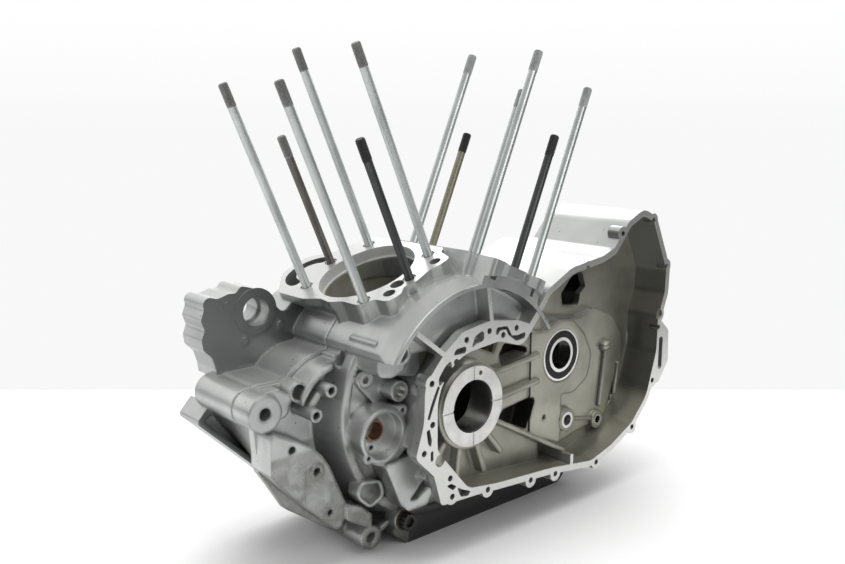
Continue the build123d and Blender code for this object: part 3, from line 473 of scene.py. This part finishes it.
# Turned, plated and rubber finishes, which share one recipe
metalSet = {
    "grain": {"detail": 3, "roughness": 0.6},
    "patch": {"detail": 3, "roughness": 0.5},
    "patchStops": ((0.35, 0), (0.7, 1)),
    "patchShade": 0.80,
    "roughSpread": 0.15,
    "roughDrop": 0.07,
    "grainBump": {"strength": 0.1, "distance": 0.0002},
    "rounding": {"radius": 0.0003, "samples": 4},
    "finishes": {
        "zincStud": {"color": (0.62, 0.655, 0.64), "roughness": 0.40, "grainScale": 500, "patchScale": 25},
        "greyThread": {"color": (0.30, 0.30, 0.295), "roughness": 0.50},
        "paleThread": {"color": (0.50, 0.505, 0.51), "roughness": 0.50},
        "brownStud": {"color": (0.17, 0.16, 0.145), "roughness": 0.45, "metallic": 0.9},
        "blackStud": {"color": (0.085, 0.087, 0.088), "roughness": 0.42, "metallic": 0.9},
        "oliveStud": {"color": (0.30, 0.285, 0.215), "roughness": 0.45, "metallic": 0.9},
        "blackThread": {"color": (0.07, 0.07, 0.07), "roughness": 0.5, "metallic": 0.9},
        "bearingSteel": {"color": (0.72, 0.72, 0.70), "roughness": 0.22},
        "washerSteel": {"color": (0.74, 0.74, 0.72), "roughness": 0.40},
        "bushAlloy": {"color": (0.56, 0.56, 0.54), "roughness": 0.30},
        "sealRubber": {"color": (0.012, 0.012, 0.012), "roughness": 0.42, "metallic": 0.0, "specular": 0.2},
        "copperBush": {"color": (0.30, 0.17, 0.115), "roughness": 0.45, "metallic": 0.8},
        "grimyCopper": {"color": (0.13, 0.095, 0.07), "roughness": 0.5, "metallic": 0.8},
        "blackSteel": {"color": (0.06, 0.06, 0.058), "roughness": 0.5, "metallic": 0.8},
    },
}


def plainMetal(name, color, roughness, metallic=1.0, specular=0.5, grainScale=900, patchScale=60):
    material, tree, shader = newMaterial(name)
    where = place(tree)
    fine = noise(tree, where, grainScale, **metalSet["grain"])
    cloud = noise(tree, where, patchScale, **metalSet["patch"])
    dark = tuple(metalSet["patchShade"] * part for part in color)
    patches = mixColor(tree, ramp(tree, cloud, metalSet["patchStops"]), dark, color)
    connect(tree, patches, shader.inputs["Base Color"])
    smoothest = roughness - metalSet["roughDrop"]
    rough = mathNode(tree, "MULTIPLY_ADD", fine, metalSet["roughSpread"], smoothest)
    connect(tree, rough, shader.inputs["Roughness"])
    shader.inputs["Metallic"].default_value = metallic
    shader.inputs["Specular IOR Level"].default_value = specular
    rounded = roundedNormal(tree, **metalSet["rounding"])
    connect(tree, bump(tree, fine, rounded, **metalSet["grainBump"]), shader.inputs["Normal"])
    return material


# Studs with their rolled threads, in place of the plain ones
studSet = {
    "seatHeight": 0.1475,
    "seatTilt": 23.5,
    "seatY": {"front": 0.101, "rear": 0.066},
    "long": {"u": 0.0456, "v": 0.0492, "length": 0.225, "shank": 0.0046},
    "short": {"u": 0.0022, "v": 0.0662, "length": 0.149, "shank": 0.0044},
    "foot": 0.024,
    "footRadius": 0.00495,
    "footCone": 0.0006,
    "threadLength": 0.022,
    "threadRadius": 0.005,
    "threadDepth": 0.00055,
    "threadCone": 0.0012,
    "pitch": 0.00125,
    "tipLength": 0.0012,
    "tipTaper": 0.0010,
    "tipCut": 0.0011,
    "sides": 28,
    "steps": 6,  # rings to one turn of the thread
}


def studPlaces(end, kind):
    sizes = studSet[kind]
    if kind == "long":
        return [(u * sizes["u"], v * sizes["v"]) for u in (-1, 1) for v in (-1, 1)]
    side = -1 if end == "front" else 1
    return [(-side * sizes["u"], v * sizes["v"]) for v in (-1, 1)]


def studRings(kind):
    # heights above the seat with the radius there, or None on the thread
    sizes = studSet[kind]
    top = sizes["length"]
    start = top - studSet["threadLength"]
    rings = [
        (-studSet["foot"], studSet["footRadius"]),
        (-studSet["footCone"], studSet["footRadius"]),
        (0.0, sizes["shank"]),
        (start - studSet["threadCone"], sizes["shank"]),
    ]
    count = int(studSet["threadLength"] / studSet["pitch"] * studSet["steps"])
    for i in range(count):
        rings.append((start + (i + 0.5) * studSet["threadLength"] / count, None))
    rings.append((top, studSet["threadRadius"] - studSet["tipCut"]))
    return rings


def threadRadius(height, turn, top):
    # crest and root follow the helix, and the thread tapers towards the tip
    phase = (height / studSet["pitch"] - turn) % 1.0
    groove = studSet["threadDepth"] * abs(2 * phase - 1)
    lead = min(1.0, (top - height) / studSet["tipLength"])
    return studSet["threadRadius"] - groove - studSet["tipTaper"] * (1 - lead)


def makeStuds(end, kind, materials):
    side = -1 if end == "front" else 1
    tilt = math.radians(studSet["seatTilt"])
    up = Vector((side * math.sin(tilt), 0, math.cos(tilt)))
    across = Vector((math.cos(tilt), 0, -side * math.sin(tilt)))
    right = Vector((0, 1, 0))
    rings = studRings(kind)
    top = rings[-1][0]
    sides = studSet["sides"]
    vertices, faces, finishIndex = [], [], []
    for stud, (u, v) in enumerate(studPlaces(end, kind)):
        foot = up * studSet["seatHeight"] + right * studSet["seatY"][end] + across * u + right * v
        first = len(vertices)
        for height, radius in rings:
            for i in range(sides):
                turn = i / sides
                reach = threadRadius(height, turn, top) if radius is None else radius
                spoke = across * math.cos(2 * math.pi * turn) + right * math.sin(2 * math.pi * turn)
                vertices.append(foot + up * height + spoke * reach)
        for ring in range(len(rings) - 1):
            for i in range(sides):
                a = first + ring * sides + i
                b = first + ring * sides + (i + 1) % sides
                faces.append((a, b, b + sides, a + sides))
                onThread = rings[ring + 1][1] is None or rings[ring][1] is None
                finishIndex.append(2 * stud + (1 if onThread else 0))
        faces.append(tuple(first + i for i in reversed(range(sides))))
        finishIndex.append(2 * stud)
        faces.append(tuple(first + (len(rings) - 1) * sides + i for i in range(sides)))
        finishIndex.append(2 * stud + 1)
    name = end + kind.capitalize() + "Studs"
    mesh = bpy.data.meshes.new(name)
    mesh.from_pydata(vertices, [], faces)
    for material in materials:
        mesh.materials.append(material)
    for polygon, index in zip(mesh.polygons, finishIndex):
        polygon.material_index = index
        polygon.use_smooth = index % 2 == 0 and len(polygon.vertices) == 4  # the shank alone
    piece = addObject(name, mesh)
    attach(piece, "root")
    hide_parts(end + "_" + kind + "_studs")


# Small cast ribs and a pad on the terrace of the primary chamber
ribSet = {
    "station": 0.030,
    "sunk": 0.0005,
    "rounding": 6,
    "arc": 12,
    "ribs": {
        # start and end (x, z), width, height
        "shaftRib": ((0.2535, 0.007), (0.2455, -0.058), 0.0065, 0.0050),
        "shaftRibPad": ((0.2560, 0.0165), (0.2520, 0.0155), 0.0150, 0.0085),
        "rearRib": ((0.2815, -0.012), (0.2755, -0.050), 0.0050, 0.0038),
        "sleeveWeb": ((0.1915, -0.0645), (0.2275, -0.0725), 0.0050, 0.0060),
    },
}


def ribStations(length, radius, rounding):
    # (way along, share of the full section): round ends and a straight run between them
    ends = []
    for step in range(1, rounding + 1):
        angle = math.pi / 2 * step / rounding
        ends.append((radius * (1 - math.cos(angle)), math.sin(angle)))
    return ends + [(length - way, share) for way, share in reversed(ends)]


def makeCastRibs(values, material):
    sunk = Vector((0, values["station"] + values["sunk"], 0))
    for name, (start, end, width, height) in values["ribs"].items():
        first = Vector((start[0], 0, start[1]))
        last = Vector((end[0], 0, end[1]))
        ahead = (last - first).normalized()
        across = Vector((-ahead.z, 0, ahead.x))
        radius = width / 2
        first = first - ahead * radius
        length = (last - first).length + radius
        vertices, faces = [], []
        for way, share in ribStations(length, radius, values["rounding"]):
            middle = first + ahead * way
            ring = [middle + across * radius * share + sunk]
            for step in range(values["arc"] + 1):
                angle = math.pi * step / values["arc"]
                rise = Vector((0, values["station"] - height * share * math.sin(angle), 0))
                ring.append(middle + across * radius * share * math.cos(angle) + rise)
            ring.append(middle - across * radius * share + sunk)
            vertices.extend(ring)
        size = values["arc"] + 3  # points in one section
        count = len(vertices) // size
        for row in range(count - 1):
            here, there = row * size, (row + 1) * size
            for step in range(size):
                after = (step + 1) % size
                faces.append((here + step, here + after, there + after, there + step))
        faces.append(tuple(reversed(range(size))))
        faces.append(tuple(range((count - 1) * size, count * size)))
        mesh = bpy.data.meshes.new(name)
        mesh.from_pydata(vertices, [], faces)
        shape = bmesh.new()
        shape.from_mesh(mesh)
        bmesh.ops.recalc_face_normals(shape, faces=shape.faces)
        shape.to_mesh(mesh)
        shape.free()
        for face in mesh.polygons:
            face.use_smooth = True
        mesh.materials.append(material)
        rib = addObject(name, mesh)
        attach(rib, "root")


finishes = {"castAlloy": castAlloy(castSet)}
for name, values in metalSet["finishes"].items():
    finishes[name] = plainMetal(name, **values)
nodeFinish = {
    "left_crankcase_half": "castAlloy", "right_crankcase_half": "castAlloy", "strainer_cover": "castAlloy",
    "front_long_studs": "zincStud", "rear_long_studs": "zincStud",
    "front_short_studs": "blackStud", "rear_short_studs": "blackStud",
    "left_main_bush": "bushAlloy", "right_main_bush": "bushAlloy",
    "left_thrust_washer": "washerSteel", "right_thrust_washer": "washerSteel",
    "main_shaft_outer_race": "bearingSteel", "main_shaft_inner_race": "bearingSteel",
    "main_shaft_balls": "bearingSteel", "main_shaft_cage": "bearingSteel", "main_shaft_seal": "sealRubber",
    "right_shaft_outer_races": "bearingSteel", "right_shaft_inner_races": "bearingSteel",
    "right_shaft_balls": "bearingSteel", "right_shaft_cages": "bearingSteel",
    "drive_shaft_sleeve": "washerSteel", "shift_drum_sleeve": "bearingSteel", "pump_bush": "copperBush",
    "gallery_plug": "washerSteel", "core_plug": "bushAlloy", "case_dowels": "washerSteel",
    "case_bolts": "zincStud", "drain_plug": "blackSteel", "drain_washer": "grimyCopper",
    "strainer_screws": "blackSteel", "mount_sleeve": "bushAlloy",
}
for name, piece in nodes.items():
    piece.data.materials.clear()
    piece.data.materials.append(finishes[nodeFinish[name]])
print("finishes given to", len(nodes), "pieces")

# Shank and thread finish of each stud, in the order of its places
studFinishes = {
    ("front", "long"): ["zincStud", "greyThread"] * 4,
    ("rear", "long"): ["zincStud", "paleThread"] * 4,
    ("front", "short"): ["blackStud", "blackThread", "brownStud", "greyThread"],
    ("rear", "short"): ["blackStud", "blackThread", "oliveStud", "blackThread"],
}
for (end, kind), names in studFinishes.items():
    makeStuds(end, kind, [finishes[name] for name in names])
print("studs with threads in place")

makeCastRibs(ribSet, finishes["castAlloy"])
print("cast ribs in place:", len(ribSet["ribs"]))


# Pale table, square to the camera, that ends behind the case
tableSet = {
    "top": -0.155,
    "farEdge": (0.324, 0.449),
    "turn": cameraSet["turn"],
    "width": 6.0,
    "length": 6.0,
    "color": (0.80, 0.80, 0.80),
    "roughness": 0.55,
}


def makeTable(values):
    mesh = bpy.data.meshes.new("table")
    half = values["width"] / 2
    corners = [(-half, 0, 0), (half, 0, 0), (half, -values["length"], 0), (-half, -values["length"], 0)]
    mesh.from_pydata(corners, [], [(0, 3, 2, 1)])
    table = addObject("table", mesh)
    table.location = (*values["farEdge"], values["top"])
    table.rotation_euler = (0, 0, -math.radians(values["turn"]))
    material, tree, shader = newMaterial("tableTop")
    shader.inputs["Base Color"].default_value = (*values["color"], 1)
    shader.inputs["Roughness"].default_value = values["roughness"]
    shader.inputs["Specular IOR Level"].default_value = 0
    mesh.materials.append(material)


# Soft light from above for the object; the camera, metal and glass see a white backdrop instead
skySet = {
    # height, from 0 straight down to 1 straight up, with its grey level
    "glow": ((0.48, 0.10), (0.62, 0.45), (1.0, 1.0)),
    "glowStrength": 0.8,
    "backdrop": ((0.495, 0.94), (0.55, 1.0)),
}


def makeSky(values):
    world = bpy.data.worlds.new("studio")
    bpy.context.scene.world = world
    world.use_nodes = True
    tree = world.node_tree
    tree.nodes.clear()
    output = addNode(tree, "ShaderNodeOutputWorld")
    path = addNode(tree, "ShaderNodeLightPath")
    direction = addNode(tree, "ShaderNodeSeparateXYZ")
    connect(tree, addNode(tree, "ShaderNodeTexCoord").outputs["Generated"], direction.inputs[0])
    height = mathNode(tree, "MULTIPLY_ADD", direction.outputs[2], 0.5, 0.5)
    glow = addNode(tree, "ShaderNodeBackground")
    connect(tree, ramp(tree, height, values["glow"]), glow.inputs["Color"])
    glow.inputs["Strength"].default_value = values["glowStrength"]
    white = addNode(tree, "ShaderNodeBackground")
    connect(tree, ramp(tree, height, values["backdrop"]), white.inputs["Color"])
    seen = largest(tree, path.outputs["Is Camera Ray"], path.outputs["Is Glossy Ray"],
                   path.outputs["Is Transmission Ray"])
    mix = addNode(tree, "ShaderNodeMixShader")
    connect(tree, seen, mix.inputs[0])
    connect(tree, glow.outputs[0], mix.inputs[1])
    connect(tree, white.outputs[0], mix.inputs[2])
    connect(tree, mix.outputs[0], output.inputs[0])


# Dark cards that only the metal mirrors, as a photographer sets them round a bright part
cardSet = {
    # place, aimed at, width, height, grey level
    "frontCard": ((-1.2, -1.35, 0.45), (0.0, 0.0, 0.1), 2.6, 1.6, 0.06),
    "ceilingCard": ((0.1, 0.0, 1.25), (0.1, 0.0, 0.0), 2.4, 1.7, 0.50),
    "rightCard": ((0.62, -0.72, 0.12), (0.05, 0.0, 0.08), 1.4, 0.75, 0.10),
    "leftCard": ((-1.45, 0.9, 0.05), (0.0, 0.1, 0.05), 1.4, 0.5, 0.02),
}


def makeCards(values):
    for name, (spot, aim, width, height, tone) in values.items():
        material, tree, shader = newMaterial(name + "Paint")
        shader.inputs["Base Color"].default_value = (0, 0, 0, 1)
        shader.inputs["Specular IOR Level"].default_value = 0
        shader.inputs["Emission Color"].default_value = (tone, tone, tone, 1)
        shader.inputs["Emission Strength"].default_value = 1
        mesh = bpy.data.meshes.new(name)
        x, y = width / 2, height / 2
        mesh.from_pydata([(-x, -y, 0), (x, -y, 0), (x, y, 0), (-x, y, 0)], [], [(0, 1, 2, 3)])
        mesh.materials.append(material)
        card = addObject(name, mesh)
        aimFrom(card, spot, aim)
        card.visible_camera = False
        card.visible_diffuse = False
        card.visible_shadow = False


lampSet = {
    # place, aimed at, width, height, watts, whether the metal mirrors it
    "overhead": ((0.10, 0.20, 1.35), (0.05, 0.10, 0.0), 1.7, 1.3, 26, False),
    "left": ((-1.35, 0.45, 0.80), (0.0, 0.10, 0.02), 0.9, 0.9, 4, False),
    "rear": ((1.0, 1.1, 0.9), (0.1, 0.1, 0.05), 1.0, 0.8, 6, True),
    "front": ((0.05, -1.45, 0.95), (0.08, 0.05, 0.0), 0.5, 0.5, 4, True),
}


def makeLamps(values):
    for name, (spot, aim, width, height, power, mirrored) in values.items():
        data = bpy.data.lights.new(name, "AREA")
        data.shape = "RECTANGLE"
        data.size = width
        data.size_y = height
        data.energy = power
        lamp = addObject(name, data)
        aimFrom(lamp, spot, aim)
        lamp.visible_glossy = mirrored


makeTable(tableSet)
makeSky(skySet)
makeCards(cardSet)
makeLamps(lampSet)
bpy.context.scene.view_settings.view_transform = "Standard"
print("table, sky, cards and lamps in place")

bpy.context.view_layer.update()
